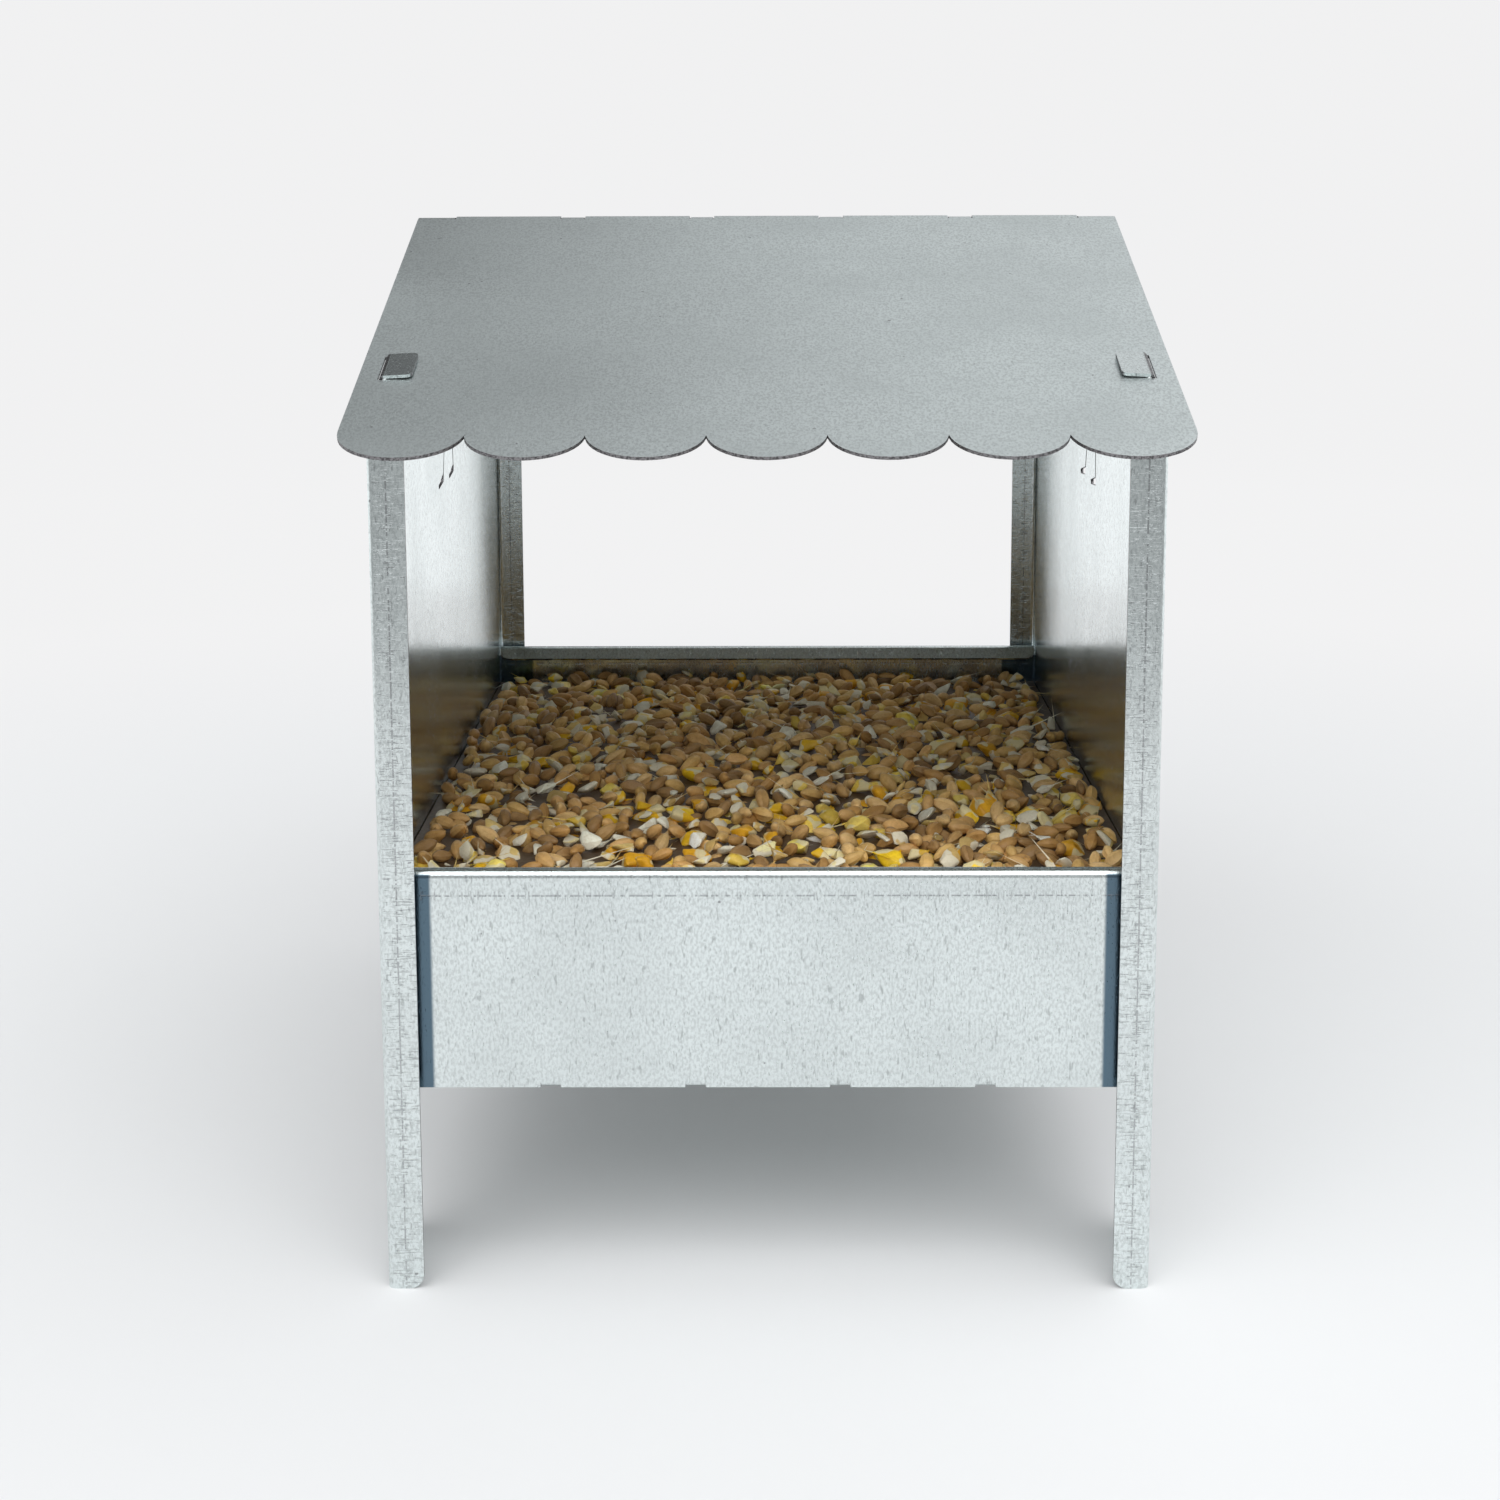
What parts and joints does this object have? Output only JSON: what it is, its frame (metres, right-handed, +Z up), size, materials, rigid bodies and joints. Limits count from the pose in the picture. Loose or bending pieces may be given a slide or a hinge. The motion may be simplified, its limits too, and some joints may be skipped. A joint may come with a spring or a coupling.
{
  "type": "covered tray poultry feeder",
  "caption": "Free-standing sheet-metal poultry feeder: a low feed tray between gabled side panels, under a pitched roof with scalloped eaves.",
  "frame": {"origin": "on the ground, under the middle of the feeder", "axes": "+Z up; X runs across the feeding openings; +Y runs from the front eave to the rear eave, square to the ridge"},
  "size_m": [0.19, 0.3064, 0.2476],
  "materials": {
    "roof": "hot-dip galvanised sheet, dull blue-grey, faint streaks, no seams",
    "side_panel": "hot-dip galvanised sheet, semi-bright, fine vertical streaks and pressed fold marks",
    "feed_tray": "hot-dip galvanised sheet, semi-bright, vertical streaks, bright rolled edge"
  },
  "bodies": {
    "root": {"roof": "roof", "side_panel_left": "side_panel", "side_panel_right": "side_panel", "feed_tray": "feed_tray"}
  },
  "joints": []
}
